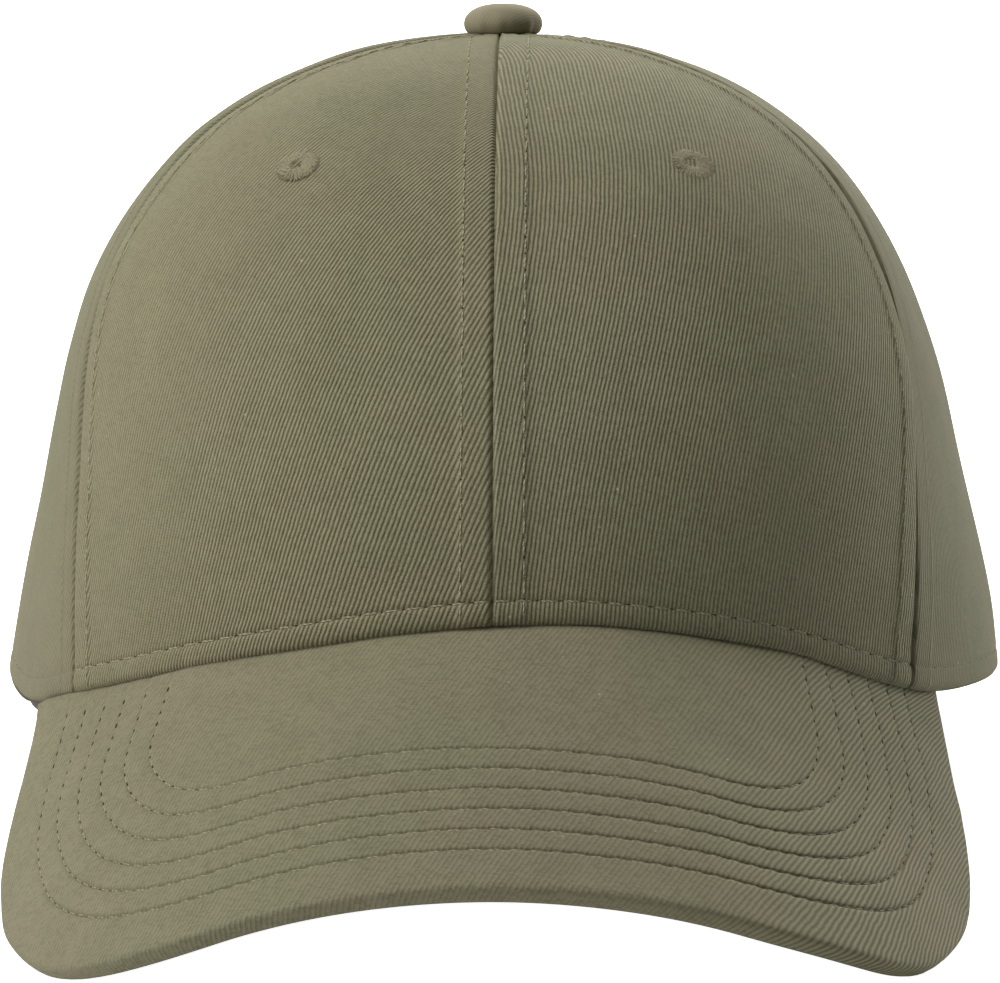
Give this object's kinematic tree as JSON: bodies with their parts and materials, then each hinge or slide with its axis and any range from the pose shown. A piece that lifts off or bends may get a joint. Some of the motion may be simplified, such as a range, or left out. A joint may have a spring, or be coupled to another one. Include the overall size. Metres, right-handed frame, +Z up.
{
  "type": "six-panel cap with a curved peak",
  "caption": "Structured panelled cap with a curved stitched peak, covered top button, thread eyelets, inner sweatband and an arched rear opening with a plain strap.",
  "frame": {"origin": "middle of the footprint, on the surface that the cap rests on", "axes": "-Y the way the peak points, +X towards the wearer's left, +Z up"},
  "size_m": [0.1818, 0.2618, 0.1377],
  "materials": {
    "twill": "olive cotton twill, matt, diagonal rib",
    "thread": "olive sewing thread, soft sheen",
    "band": "dark grey brushed cotton, matt"
  },
  "bodies": {
    "root": {"front_panel_left": "twill", "front_panel_right": "twill", "side_panel_left": "twill", "side_panel_right": "twill", "back_panel_left": "twill", "back_panel_right": "twill", "peak_top_cover": "twill", "peak_under_cover": "twill", "top_button": "twill", "back_strap": "twill", "front_eyelet_left": "thread", "front_eyelet_right": "thread", "side_eyelet_left": "thread", "side_eyelet_right": "thread", "back_eyelet_left": "thread", "back_eyelet_right": "thread", "sweatband": "band"}
  },
  "joints": []
}
